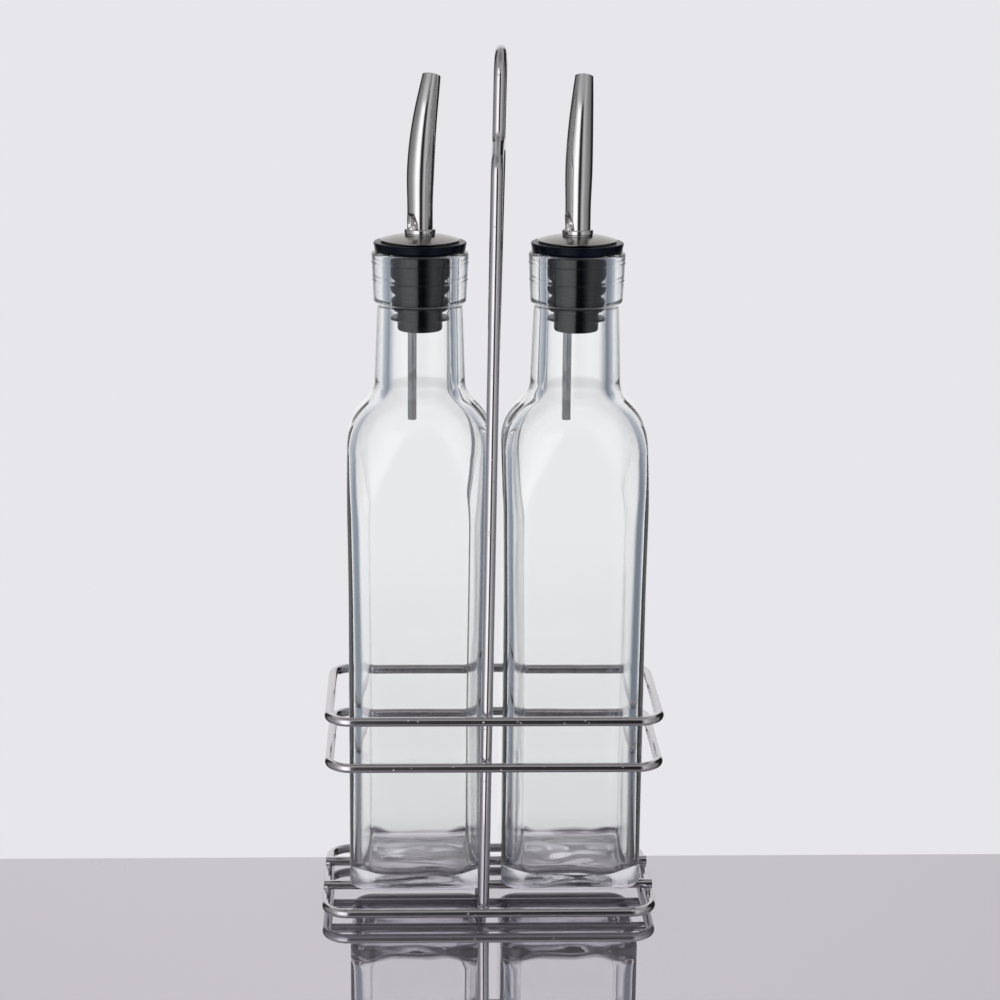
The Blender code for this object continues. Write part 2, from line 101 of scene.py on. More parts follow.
class BottleSettings(bpy.types.PropertyGroup):
    body_half: length("Body", 0.0239, "Half the width across the body's flats")
    shoulder_half: length("Shoulder", 0.0244, "Half the width just under the shoulder")
    corner: FloatProperty(name="Corner", description="Corner radius as a share of half the width",
                          default=0.28, subtype="FACTOR")
    inner_corner: FloatProperty(name="Inner Corner", description="The same for the inside",
                                default=0.26, subtype="FACTOR")
    wall: length("Wall", 0.0031, "Thickness of the glass in the body")
    floor: length("Floor", 0.0042, "Thickness of the glass under the hollow")
    push_up: length("Push Up", 0.0010, "Height of the hollow under the base")
    base_round: length("Base Round", 0.0026, "Radius round the foot of the body")
    rim_width: length("Rim Width", 0.0045, "Width of the flat rim that the bottle stands on")
    floor_round: length("Floor Round", 0.0055, "Radius between the floor and the walls inside")
    waist: length("Waist", 0.1000, "Height at which the body starts to swell towards the shoulder")
    body_top: length("Body Top", 0.1530, "Height of the straight body above the base")
    shoulder_start: length("Shoulder Start", 0.1300, "Height at which the corners start to get rounder")
    shoulder_reach: length("Shoulder Reach", 0.0135, "How far the shoulder pulls up from the body")
    neck_reach: length("Neck Reach", 0.0070, "How far the shoulder pulls down from the neck")
    neck_foot: length("Neck Foot", 0.1745, "Height at which the neck starts")
    neck_foot_radius: length("Neck Foot Radius", 0.0152, "Radius of the neck at its foot")
    neck_top: length("Neck Top", 0.2008, "Height at which the finish starts")
    neck_top_radius: length("Neck Top Radius", 0.0142, "Radius of the neck under the finish")
    finish_foot_radius: length("Finish Foot Radius", 0.01545, "Radius of the finish at its lower edge")
    finish_top_radius: length("Finish Top Radius", 0.01615, "Radius of the finish under its lip")
    lip_round: length("Lip Round", 0.0009, "Radius over the outside of the lip")
    mouth_round: length("Mouth Round", 0.0008, "Radius from the lip into the mouth")
    bore: length("Bore", 0.0100, "Radius of the mouth")
    neck_bore: length("Neck Bore", 0.0103, "Radius of the hollow in the neck")
    seam_low: length("Lower Seam", 0.2089, "Height of the lower mould seam round the finish")
    seam_high: length("Upper Seam", 0.2147, "Height of the upper mould seam round the finish")
    seam: length("Seam", 0.0002, "Height and half width of a mould seam")
    wave: length("Wave", 0.00045, "Unevenness of the glass on its inside")
    floor_wave: length("Floor Wave", 0.0007, "Unevenness of the floor inside")
    floor_crown: length("Floor Crown", 0.0008, "How much the floor rises towards its middle")
    facets: IntProperty(name="Facets", description="Facets round a bottle", default=224, min=32)
    tint: colour("Tint", (0.82, 0.80, 0.87), "Colour that light takes on inside thick glass")
    # Painted shade: the thick glass at the foot gets a darker, lavender base colour
    foot_painted_shade: colour("Foot Shade", (0.80, 0.77, 0.84), "Colour of the thick glass at the foot")


class StopperSettings(bpy.types.PropertyGroup):
    flange: length("Flange", 0.0031, "Thickness of the flange")
    flange_foot_radius: length("Flange Foot Radius", 0.0150, "Radius of the flange's lower edge")
    flange_top_radius: length("Flange Top Radius", 0.01545, "Radius of the flange's upper edge")
    fin_radius: length("Fin Radius", 0.00985, "Radius of the sealing fins")
    fin_bevel: length("Fin Bevel", 0.0022, "Height of the slope under a fin")
    last_fin: length("Last Fin", 0.0216, "Depth of the thin fin on the plug's lower part")
    flange_round: length("Flange Round", 0.0005, "Radius round the flange's upper edge")
    soft: length("Soft Edge", 0.0003, "Radius of the fins' and the bore's edges")
    blunt: length("Blunt Edge", 0.0004, "Radius of the flange's lower edge and the thin fin's")
    groove_radius: length("Groove Radius", 0.0083, "Radius at the bottom of the grooves")
    plug_radius: length("Plug Radius", 0.0075, "Radius of the plug's lower part")
    bore: length("Bore", 0.00535, "Radius of the hole for the pourer")
    facets: IntProperty(name="Facets", description="Facets round a stopper", default=144, min=24)
    rubber: colour("Rubber", (0.003, 0.004, 0.008), "Colour of the rubber")


class PourerSettings(bpy.types.PropertyGroup):
    dome: length("Dome", 0.0019, "Height of the domed disc")
    sheet: length("Sheet", 0.0005, "Thickness of the disc's sheet")
    collar_radius: length("Collar Radius", 0.00520, "Radius of the collar round the spout")
    sleeve_radius: length("Sleeve Radius", 0.00505, "Radius of the sleeve under the disc")
    sleeve_bore: length("Sleeve Bore", 0.0048, "Radius of the sleeve's inside")
    spout_radius: length("Spout Radius", 0.0043, "Radius of the spout at its foot")
    belly_radius: length("Belly Radius", 0.0046, "Radius of the spout where it bends")
    tip_radius: length("Tip Radius", 0.0031, "Radius of the spout's tip")
    tip: length("Tip", 0.2834, "Height of the tip, measured up the bent centre line")
    wall: length("Wall", 0.0004, "Thickness of the spout's wall")
    bend_start: length("Bend Start", 0.2440, "Height at which the spout starts to lean")
    bend_length: length("Bend Length", 0.0300, "Length of the bent stretch")
    bend: FloatProperty(name="Lean", description="How far the spout leans", default=math.radians(22),
                        subtype="ANGLE")
    belly_height: length("Belly Height", 0.2520, "Height of the spout's widest place")
    taper: FloatProperty(name="Taper", description="Above 1 the spout keeps its width for longer",
                         default=1.7)
    dent_top: length("Dent Top", 0.2383, "Height at which the pressed-in dent runs out")
    dent_full: length("Dent Foot", 0.2345, "Height below which the dent has its full depth")
    dent_radius: length("Dent Radius", 0.00145, "Distance from the axis to the pressed-in wall")
    dent_seat: length("Dent Seat", 0.2332, "Height above which the dent gets narrower")
    dent_arch: FloatProperty(name="Dent Arch", description="Share of the dent's width lost at its top",
                             default=0.45, subtype="FACTOR")
    dent_turn: FloatVectorProperty(name="Dent Angles", size=2, subtype="EULER",
                                   description="Half angles of the dent's flat and of its outer edge",
                                   default=(math.radians(26), math.radians(44)))
    breather_offset: length("Breather Offset", 0.0032, "Distance from the axis to the breather tube")
    breather_radius: length("Breather Radius", 0.0015, "Radius of the breather tube")
    breather_bore: length("Breather Bore", 0.0011, "Radius of the breather tube's inside")
    lean_turn: FloatVectorProperty(name="Lean Directions", description="Way each spout leans, from +X",
                                   default=(math.radians(66), math.radians(78)), size=2, subtype="EULER")
    breather_turn: FloatVectorProperty(name="Breather Directions", size=2, subtype="EULER",
                                       description="Side on which each breather tube stands, from +X",
                                       default=(math.radians(-141), math.radians(-155)))
    polished: colour("Polished Steel", (0.655, 0.650, 0.660), "Colour of the spout")
    satin: colour("Satin Steel", (0.28, 0.27, 0.26), "Colour of the disc")
    plain: colour("Plain Steel", (0.896, 0.864, 0.832), "Colour of the breather tube")


class StudioSettings(bpy.types.PropertyGroup):
    camera_place: FloatVectorProperty(name="Camera", description="Where the camera stands",
                                      default=(-0.0271, -0.7991, 0.3406), unit="LENGTH")
    camera_turn: FloatVectorProperty(name="Camera Angles", subtype="EULER",
                                     description="Pitch down, roll and turn to the right",
                                     default=[math.radians(turn) for turn in (14.08, 0.55, 2.13)])
    lens: FloatProperty(name="Lens", description="Focal length in millimetres", default=87.23)
    table_front: length("Table Front", 0.115, "How far the table reaches in front of the set")
    table_half_width: length("Table Half Width", 0.24, "Half the table's width")
    table_back: length("Table Back", 0.0320, "How far the table reaches behind the set")
    table_glass: length("Table Glass", 0.003, "Thickness of the glass over the table's mirror")
    table_tone: colour("Table Tone", (0.64, 0.61, 0.66), "Colour of the table")
    table_silver: FloatProperty(name="Table Silver", description="Mirrored share of the table's light",
                                default=0.84, subtype="FACTOR")
    pale: colour("Pale Grey", (0.800, 0.790, 0.830), "Colour of the backdrop")


# Small helpers

def ring_of(radius, height, facets):
    """A level circle about the Z axis."""
    turns = [FULL_TURN * k / facets for k in range(facets)]
    return [Vector((radius * math.cos(a), radius * math.sin(a), height)) for a in turns]


def arc(centre, radius, start, end, steps):
    """Points on an arc in a plane, both ends included, angles in degrees."""
    turns = [math.radians(start + (end - start) * i / steps) for i in range(steps + 1)]
    return [(centre[0] + radius * math.cos(a), centre[1] + radius * math.sin(a)) for a in turns]


def bezier(p0, p1, p2, p3, steps):
    """Points along a cubic curve in a plane, both ends included."""
    points = []
    for i in range(steps + 1):
        t = i / steps
        weights = ((1 - t) ** 3, 3 * t * (1 - t) ** 2, 3 * t * t * (1 - t), t ** 3)
        pulls = list(zip(weights, (p0, p1, p2, p3)))
        points.append(tuple(sum(weight * point[k] for weight, point in pulls) for k in (0, 1)))
    return points


def smoothstep(x):
    """The smooth curve from 0 to 1, level at both ends."""
    x = min(max(x, 0.0), 1.0)
    return x * x * (3 - 2 * x)


def blend_range(value, low, high):
    """0 below low, 1 above high, smooth between them."""
    return smoothstep((value - low) / (high - low))


def between(low, high, steps):
    """Evenly spaced values, both ends included."""
    return [low + (high - low) * i / steps for i in range(steps + 1)]


def loft_mesh(name, rings, closed):
    """Joins rings of points with quads. An open loft gets a pole in the middle of each end."""
    count = len(rings[0])
    points = [tuple(p) for ring in rings for p in ring]
    spans = len(rings) if closed else len(rings) - 1
    faces = []
    for k in range(spans):
        low = k * count
        high = (k + 1) % len(rings) * count
        for i in range(count):
            j = (i + 1) % count
            faces.append((low + i, low + j, high + j, high + i))
    if not closed:
        last = (len(rings) - 1) * count
        for start, flip in ((0, True), (last, False)):
            pole = len(points)
            middle = sum((Vector(p) for p in points[start:start + count]), Vector()) / count
            points.append(tuple(middle))
            for i in range(count):
                a, b = start + i, start + (i + 1) % count
                faces.append((b, a, pole) if flip else (a, b, pole))
    mesh = bpy.data.meshes.new(name)
    mesh.from_pydata(points, [], faces)
    mesh.validate()
    point_out(mesh)
    mesh.shade_smooth()
    return mesh


def point_out(mesh):
    """Turns the faces over when the closed mesh is inside out."""
    volume = 0.0
    for polygon in mesh.polygons:
        corners = [mesh.vertices[v].co for v in polygon.vertices]
        for b, c in zip(corners[1:], corners[2:]):
            volume += corners[0].dot(b.cross(c))
    if volume < 0:
        mesh.flip_normals()


def show(name, mesh, material, body, nodes):
    """Adds a finished piece that rides on its body and stands for its nodes."""
    mesh.materials.clear()
    mesh.materials.append(material)
    piece = bpy.data.objects.new(name, mesh)
    bpy.context.scene.collection.objects.link(piece)
    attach(piece, body)
    if nodes:
        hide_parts(*nodes)
    return piece


def axis_of(node):
    """X and Y of the upright axis through a node's middle."""
    low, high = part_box(node)
    return Vector(((low.x + high.x) / 2, (low.y + high.y) / 2, 0.0))


# Node trees of the finishes

def add_node(tree, kind, inputs=None, **settings):
    """A node with its settings, and with each input either linked or set."""
    made = tree.nodes.new(kind)
    for key, value in settings.items():
        setattr(made, key, value)
    for key, value in (inputs or {}).items():
        if isinstance(value, bpy.types.NodeSocket):
            tree.links.new(value, made.inputs[key])
        else:
            made.inputs[key].default_value = value
    return made


def start_finish(name, **sockets):
    """A material with a Principled shader whose plain values are set on its own sockets."""
    material = bpy.data.materials.new(name)
    material.use_nodes = True
    tree = material.node_tree
    shader = tree.nodes["Principled BSDF"]
    for key, value in sockets.items():
        shader.inputs[key.replace("_", " ")].default_value = value
    place = add_node(tree, "ShaderNodeTexCoord").outputs["Object"]
    return material, tree, shader, place


def tint_ramp(tree, factor, stops):
    """A ramp of colours from (position, colour) stops."""
    ramp = add_node(tree, "ShaderNodeValToRGB", {"Fac": factor})
    elements = ramp.color_ramp.elements
    while len(elements) < len(stops):
        elements.new(0.5)
    for element, (position, value) in zip(elements, stops):
        element.position = position
        element.color = (*value, 1.0)
    return ramp.outputs["Color"]


def grey_ramp(tree, factor, stops):
    """A ramp of greys from (position, value) stops."""
    return tint_ramp(tree, factor, [(position, grey(value)) for position, value in stops])


def soft_step(tree, value, low, high):
    """0 below low, 1 above high, smooth between them."""
    made = add_node(tree, "ShaderNodeMapRange", {"Value": value, "From Min": low, "From Max": high},
                    interpolation_type="SMOOTHSTEP")
    return made.outputs["Result"]


def mixed(tree, factor, first, second):
    """A blend of two colours."""
    made = add_node(tree, "ShaderNodeMix", {0: factor, 6: first, 7: second}, data_type="RGBA")
    return made.outputs[2]


def grain(tree, place, scale, detail):
    """A noise pattern."""
    made = add_node(tree, "ShaderNodeTexNoise", {"Vector": place, "Scale": scale, "Detail": detail})
    return made.outputs["Fac"]


def relief(tree, height, strength, depth, under=None):
    """Turns a pattern into a relief, on top of another one where that is given."""
    inputs = {"Height": height, "Strength": strength, "Distance": depth}
    if under is not None:
        inputs["Normal"] = under
    return add_node(tree, "ShaderNodeBump", inputs).outputs["Normal"]


def paint(tree, shader, **patterns):
    """Links patterns to the shader's sockets."""
    for name, pattern in patterns.items():
        tree.links.new(pattern, shader.inputs[name.replace("_", " ")])


def grey(value):
    """A grey as a colour of three channels."""
    return (value, value, value)


def scaled(value, share):
    """A colour made darker or lighter."""
    return tuple(channel * share for channel in value)


def chrome_finish(name, metal, dull):
    """Plated wire: a wavy polish, tiny pits and a faint haze. dull is 0 for bright wire, 1 for a weld."""
    material, tree, shader, place = start_finish(name, Metallic=1.0)
    haze = grain(tree, place, 60.0, 4.0)
    dots = add_node(tree, "ShaderNodeTexVoronoi", {"Vector": place, "Scale": 520.0})
    pits = grey_ramp(tree, dots.outputs["Distance"], ((0.05, 0.0), (0.16, 1.0)))
    unpitted = grey_ramp(tree, grain(tree, place, 170.0, 1.0), ((0.50, 1.0), (0.62, 0.0)))
    skin = add_node(tree, "ShaderNodeMath", {0: pits, 1: unpitted}, operation="MAXIMUM")
    wobble = grain(tree, place, 240.0 + 500.0 * dull, 2.0)
    waves = relief(tree, wobble, 0.10 + 0.5 * dull, 0.0003)
    paint(tree, shader,
          Base_Color=tint_ramp(tree, haze, ((0.35, scaled(metal, 0.93)), (0.70, metal))),
          Roughness=grey_ramp(tree, haze, ((0.30, 0.055 + 0.22 * dull), (0.75, 0.095 + 0.30 * dull))),
          Normal=relief(tree, skin.outputs["Value"], 0.55, 0.0002, waves))
    return material


def glass_finish(tint, foot_painted_shade, base):
    """Clear pressed glass: fire-polished ripple, faint bloom at a glance, a stippled underside and
    painted shade, a darker base colour, over the thick foot.
    """
    material, tree, shader, place = start_finish("clear_glass", IOR=1.52)
    height = add_node(tree, "ShaderNodeSeparateXYZ", {"Vector": place}).outputs["Z"]
    underside = soft_step(tree, height, base + 0.0012, base + 0.0004)
    # Mask of the painted shade: 1 on the thick glass near the foot, 0 higher up
    foot = soft_step(tree, height, base + 0.0065, base + 0.0020)
    clear = grey_ramp(tree, grain(tree, place, 35.0, 3.0), ((0.45, 0.0), (0.80, 0.012)))
    facing = add_node(tree, "ShaderNodeLayerWeight", {"Blend": 0.5}).outputs["Facing"]
    bloom = grey_ramp(tree, facing, ((0.35, 1.0), (0.62, 0.84)))
    waves = relief(tree, grain(tree, place, 55.0, 1.0), 0.05, 0.0010)
    dots = add_node(tree, "ShaderNodeTexVoronoi", {"Vector": place, "Scale": 700.0})
    stipple = add_node(tree, "ShaderNodeMath", {0: dots.outputs["Distance"], 1: underside},
                       operation="MULTIPLY")
    paint(tree, shader,
          # Painted shade: the base colour darkens to the foot colour near the foot
          Base_Color=mixed(tree, foot, (*grey(1.0), 1.0), (*foot_painted_shade, 1.0)),
          Roughness=mixed(tree, underside, clear, (*grey(0.16), 1.0)),
          Transmission_Weight=mixed(tree, underside, bloom, (*grey(0.76), 1.0)),
          Normal=relief(tree, stipple.outputs["Value"], 0.10, 0.0003, waves))
    depth = add_node(tree, "ShaderNodeVolumeAbsorption", {"Color": (*tint, 1.0), "Density": 10.0})
    tree.links.new(depth.outputs["Volume"], tree.nodes["Material Output"].inputs["Volume"])
    return material


def rubber_finish(rubber):
    """Moulded black rubber: fine grain, slight bloom and a soft, cool sheen."""
    material, tree, shader, place = start_finish("black_rubber", IOR=1.52, Specular_IOR_Level=0.12,
                                                 Specular_Tint=(0.58, 0.74, 1.0, 1.0))
    bloom = grain(tree, place, 260.0, 5.0)
    paint(tree, shader,
          Base_Color=tint_ramp(tree, bloom, ((0.35, scaled(rubber, 0.7)), (0.75, scaled(rubber, 1.5)))),
          Roughness=grey_ramp(tree, bloom, ((0.30, 0.20), (0.75, 0.28))),
          Normal=relief(tree, grain(tree, place, 3200.0, 2.0), 0.12, 0.0001))
    return material


def polished_finish(metal):
    """Polished steel: fine draw lines up the tube and faint finger haze."""
    material, tree, shader, place = start_finish("polished_steel", Metallic=1.0)
    stretched = add_node(tree, "ShaderNodeMapping", {"Vector": place, "Scale": (1.0, 1.0, 0.02)})
    lines = grain(tree, stretched.outputs["Vector"], 2600.0, 3.0)
    haze = grain(tree, place, 90.0, 3.0)
    paint(tree, shader,
          Base_Color=tint_ramp(tree, haze, ((0.35, scaled(metal, 0.95)), (0.70, metal))),
          Roughness=grey_ramp(tree, haze, ((0.35, 0.07), (0.75, 0.13))),
          Normal=relief(tree, lines, 0.05, 0.0001))
    return material


def satin_finish(name, metal, axis):
    """Spun steel: fine rings about the piece's own axis and a soft haze."""
    material, tree, shader, place = start_finish(name, Metallic=1.0)
    centred = add_node(tree, "ShaderNodeMapping", {"Vector": place, "Location": tuple(-axis)})
    spun = add_node(tree, "ShaderNodeTexWave", {"Vector": centred.outputs["Vector"], "Scale": 900.0,
                                                "Distortion": 1.5, "Detail": 2.0, "Detail Scale": 2.0},
                    wave_type="RINGS", rings_direction="Z")
    haze = grain(tree, place, 150.0, 4.0)
    paint(tree, shader,
          Base_Color=tint_ramp(tree, haze, ((0.30, scaled(metal, 0.88)), (0.75, metal))),
          Roughness=grey_ramp(tree, haze, ((0.30, 0.13), (0.75, 0.20))),
          Normal=relief(tree, spun.outputs["Fac"], 0.10, 0.0001))
    return material


# Geometry Nodes trees of the rack

def start_tree(name, inputs):
    """A Geometry Nodes tree with its named inputs, given as (name, socket kind, default)."""
    tree = bpy.data.node_groups.new(name, "GeometryNodeTree")
    tree.interface.new_socket("Geometry", in_out="INPUT", socket_type="NodeSocketGeometry")
    for title, kind, default in inputs:
        socket = tree.interface.new_socket(title, in_out="INPUT", socket_type=kind)
        if default is not None:
            socket.default_value = default
    tree.interface.new_socket("Geometry", in_out="OUTPUT", socket_type="NodeSocketGeometry")
    return tree, tree.nodes.new("NodeGroupInput").outputs


def end_tree(tree, geometry, metal):
    """Ends a tree: real meshes, smooth shading and the finish."""
    smooth = add_node(tree, "GeometryNodeSetShadeSmooth", {"Geometry": geometry})
    real = add_node(tree, "GeometryNodeRealizeInstances", {"Geometry": smooth.outputs["Geometry"]})
    painted = add_node(tree, "GeometryNodeSetMaterial",
                       {"Geometry": real.outputs["Geometry"], "Material": metal})
    end = tree.nodes.new("NodeGroupOutput")
    tree.links.new(painted.outputs["Geometry"], end.inputs["Geometry"])


def uneven(tree, geometry, amount, size, seed):
    """Moves points along their normals by a smooth noise of that size."""
    places = add_node(tree, "GeometryNodeInputPosition").outputs["Position"]
    rough = add_node(tree, "ShaderNodeTexNoise",
                     {"Vector": places, "Scale": size, "W": seed, "Detail": 1.0}, noise_dimensions="4D")
    centred = add_node(tree, "ShaderNodeMath", {0: rough.outputs["Fac"], 1: 0.5}, operation="SUBTRACT")
    reach = add_node(tree, "ShaderNodeMath", {0: centred.outputs["Value"], 1: amount},
                     operation="MULTIPLY")
    normals = add_node(tree, "GeometryNodeInputNormal").outputs["Normal"]
    moves = add_node(tree, "ShaderNodeVectorMath", {0: normals, "Scale": reach.outputs["Value"]},
                     operation="SCALE")
    moved = add_node(tree, "GeometryNodeSetPosition",
                     {"Geometry": geometry, "Offset": moves.outputs["Vector"]})
    return moved.outputs["Geometry"]


def wire_tree():
    """Sweeps a round wire along a path."""
    tree, given = start_tree("Wire Along a Path", (
        ("Wire Radius", "NodeSocketFloat", 0.002),
        ("Facets", "NodeSocketInt", 32),
        ("Ripple", "NodeSocketFloat", 0.0),
        ("Ripple Scale", "NodeSocketFloat", 90.0),
        ("Seed", "NodeSocketFloat", 0.0),
        ("Metal", "NodeSocketMaterial", None),
    ))
    outline = add_node(tree, "GeometryNodeCurvePrimitiveCircle",
                       {"Resolution": given["Facets"], "Radius": given["Wire Radius"]})
    swept = add_node(tree, "GeometryNodeCurveToMesh",
                     {"Curve": given["Geometry"], "Profile Curve": outline.outputs["Curve"],
                      "Fill Caps": True})
    rippled = uneven(tree, swept.outputs["Mesh"], given["Ripple"], given["Ripple Scale"], given["Seed"])
    end_tree(tree, rippled, given["Metal"])
    return tree


def bead_tree():
    """Puts a lumpy weld bead on every given point."""
    tree, given = start_tree("Weld Beads", (
        ("Bead Radius", "NodeSocketFloat", 0.001),
        ("Seed", "NodeSocketInt", 4),
        ("Lumps", "NodeSocketFloat", 0.0005),
        ("Metal", "NodeSocketMaterial", None),
    ))
    ball = add_node(tree, "GeometryNodeMeshIcoSphere",
                    {"Radius": given["Bead Radius"], "Subdivisions": 4})
    sizes = add_node(tree, "FunctionNodeRandomValue",
                     {"Min": (0.75, 0.75, 0.75), "Max": (1.35, 1.15, 1.15), "Seed": given["Seed"]},
                     data_type="FLOAT_VECTOR")
    placed = add_node(tree, "GeometryNodeInstanceOnPoints",
                      {"Points": given["Geometry"], "Instance": ball.outputs["Mesh"],
                       "Scale": sizes.outputs[0]})
    real = add_node(tree, "GeometryNodeRealizeInstances", {"Geometry": placed.outputs["Instances"]})
    lumpy = uneven(tree, real.outputs["Geometry"], given["Lumps"], 900.0, 3.0)
    end_tree(tree, lumpy, given["Metal"])
    return tree


def grown(name, source, tree, values):
    """Runs a tree on an object and returns the result as a plain mesh. The source is removed."""
    bpy.context.scene.collection.objects.link(source)
    modifier = source.modifiers.new(tree.name, "NODES")
    modifier.node_group = tree
    sockets = {item.name: item.identifier for item in tree.interface.items_tree if item.in_out == "INPUT"}
    for title, value in values.items():
        modifier[sockets[title]] = value
    depsgraph = bpy.context.evaluated_depsgraph_get()
    mesh = bpy.data.meshes.new_from_object(source.evaluated_get(depsgraph), preserve_all_data_layers=True,
                                           depsgraph=depsgraph)
    mesh.name = name
    source.modifiers.clear()
    data = source.data
    bpy.data.objects.remove(source)
    if isinstance(data, bpy.types.Curve):
        bpy.data.curves.remove(data)
    else:
        bpy.data.meshes.remove(data)
    return mesh


# Rack

def path_object(name, points, closed):
    """A curve object that runs through the points."""
    curve = bpy.data.curves.new(name, "CURVE")
    curve.dimensions = "3D"
    spline = curve.splines.new("POLY")
    spline.points.add(len(points) - 1)
    for target, point in zip(spline.points, points):
        target.co = (*point, 1.0)
    spline.use_cyclic_u = closed
    return bpy.data.objects.new(name, curve)


def spaced(points, closed, step=0.0015):
    """Adds points along the straight runs, so that the wire can ripple."""
    result = []
    ends = points[1:] + points[:1] if closed else points[1:]
    for start, end in zip(points, ends):
        parts = max(1, round((end - start).length / step))
        result += [start.lerp(end, i / parts) for i in range(parts)]
    return result if closed else result + [points[-1]]


def ring_path(node, bend):
    """The centre line of a ring, worked out from its node."""
    low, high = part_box(node)
    wire = high.z - low.z
    middle = (low + high) / 2
    half_width = (high.x - low.x - wire) / 2 - bend
    half_depth = (high.y - low.y - wire) / 2 - bend
    points = []
    for sx, sy, start in ((1, 1, 0), (-1, 1, 90), (-1, -1, 180), (1, -1, 270)):
        centre = (middle.x + sx * half_width, middle.y + sy * half_depth)
        points += [Vector((x, y, middle.z)) for x, y in arc(centre, bend, start, start + 90, 24)]
    return points, wire / 2


def leg_x(rack, y, z, leg_y):
    """X of the handle's centre line: the hoop leans and twists a little."""
    share = (y + leg_y) / (2 * leg_y)
    foot = rack.foot_x[0] + (rack.foot_x[1] - rack.foot_x[0]) * share
    shoulder = rack.shoulder_x[0] + (rack.shoulder_x[1] - rack.shoulder_x[0]) * share
    return foot + (shoulder - foot) * z / rack.shoulder_height


def handle_leg_y(rack):
    """How far the handle's legs stand from the middle."""
    low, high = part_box("carry_handle")
    return (high.y - low.y - rack.handle_wire) / 2


def handle_path(rack):
    """The hoop's centre line, from the front foot over the loop to the back foot."""
    low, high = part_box("carry_handle")
    leg_y = handle_leg_y(rack)
    bend, angle, loop = rack.shoulder_bend, rack.shoulder_angle, rack.loop_half_width
    degrees = math.degrees(angle)
    run = (leg_y - loop - 2 * bend * (1 - math.cos(angle))) / math.sin(angle)
    outer = arc((-leg_y + bend, rack.shoulder_height), bend, 180, 180 - degrees, 16)
    inner_start = Vector(outer[-1]) + run * Vector((math.sin(angle), math.cos(angle)))
    inner_centre = inner_start + bend * Vector((-math.cos(angle), math.sin(angle)))
    half = [(-leg_y, low.z)] + outer + arc(inner_centre, bend, -degrees, 0, 16)
    top = arc((0.0, high.z - rack.handle_wire / 2 - loop), loop, 180, 0, 40)
    line = half + top + [(-y, z) for y, z in reversed(half)]
    return [Vector((leg_x(rack, y, z, leg_y), y, z)) for y, z in line]


# Weld beads beside a leg: how far to each side, and how far over the ring's middle in wire widths
BEADS_OVER_RING = (0.0010, 0.30)
BEADS_UNDER_RING = (0.0013, -0.25)


def bead_places(rack):
    """Points where wires are welded: legs to rings and cross wires to the base ring."""
    places = []
    leg_y = handle_leg_y(rack)
    for node in RINGS:
        low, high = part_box(node)
        wire = high.z - low.z
        height = (low.z + high.z) / 2
        for back in (-1, 1):
            y = back * (leg_y + rack.handle_wire / 2)
            x = leg_x(rack, back * leg_y, height, leg_y)
            on_table = low.z < wire
            for aside, rise in [BEADS_OVER_RING] if on_table else [BEADS_OVER_RING, BEADS_UNDER_RING]:
                places += [Vector((x + s * aside, y, height + rise * wire)) for s in (-1, 1)]
    base_low, base_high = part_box("base_ring")
    for node in CROSS_WIRES:
        low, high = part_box(node)
        y = (low.y + high.y) / 2
        for x in (base_low.x + rack.bead_inset, base_high.x - rack.bead_inset):
            places += [Vector((x, y + s * rack.bead_gap, base_high.z)) for s in (-1, 1)]
            places.append(Vector((x, y, base_high.z + rack.bead_gap / 2)))
    return places


class CRUET_OT_rack(bpy.types.Operator):
    """Bends and welds the chromed wire rack"""
    bl_idname = "cruet.rack"
    bl_label = "Wire Rack"

    def execute(self, context):
        rack = context.scene.cruet_rack
        chrome = chrome_finish("chromed_wire", tuple(rack.metal), 0.0)
        weld = chrome_finish("chromed_weld", scaled(rack.metal, 0.85), 1.0)
        sweep = wire_tree()
        paths = {node: (*ring_path(node, rack.ring_bend), True) for node in RINGS}
        for node in CROSS_WIRES:
            low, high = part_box(node)
            middle = (low + high) / 2
            ends = [Vector((x, middle.y, middle.z)) for x in (low.x, high.x)]
            paths[node] = (ends, (high.z - low.z) / 2, False)
        paths["carry_handle"] = (handle_path(rack), rack.handle_wire / 2, False)
        for seed, (node, (points, thickness, closed)) in enumerate(paths.items()):
            radius = thickness - rack.ripple / 2
            source = path_object(node + "_path", spaced(points, closed), closed)
            mesh = grown(node + "_wire", source, sweep,
                         {"Wire Radius": radius, "Facets": rack.facets, "Ripple": rack.ripple,
                          "Seed": float(seed), "Metal": chrome})
            show(node + "_wire", mesh, chrome, "rack", [node])
        points = bpy.data.meshes.new("weld_points")
        points.from_pydata([tuple(p) for p in bead_places(rack)], [], [])
        source = bpy.data.objects.new("weld_points", points)
        mesh = grown("weld_beads", source, bead_tree(), {"Bead Radius": rack.bead, "Metal": weld})
        show("weld_beads", mesh, weld, "rack", [])
        return {"FINISHED"}


# Bottles

POLE = 0.02              # share of the half width at which a closed end's last ring lies
HOLLOW_CORNER = 0.6      # corner of the hollow under the base where it meets the rim
FLOOR_CORNER = 0.3       # how much rounder the floor's corners are than the walls'
STEP_ROUND = 0.0007      # radius of the finish's lower edge
STEP_HEIGHT = 0.0012     # height over the neck at which that edge ends
INSIDE_DROP = 0.0025     # how much lower the shoulder starts inside
INSIDE_PULL = 0.0010     # how much further the shoulder's curve pulls inside
INSIDE_WAIST = 0.060     # height at which the inside starts to swell

# Heights over which the glass's waves fade in and out, and their shares
WAVES_START = (0.004, 0.030)
OUTER_WAVES_END = (0.140, 0.170)
INNER_WAVES_END = (0.150, 0.180)
OUTER_SHARE = 0.10
NECK_SHARE = 0.35
PLAIN_BORE = 0.004       # how far under the finish the bore is even
UNEVEN_HEIGHT = 0.004    # how far up from the floor its unevenness reaches
CROWN_REACH = 0.020      # distance from the middle at which the floor's crown ends
SALTS = {"left": 7.0, "right": 23.0}    # starts the noise of each bottle at another place


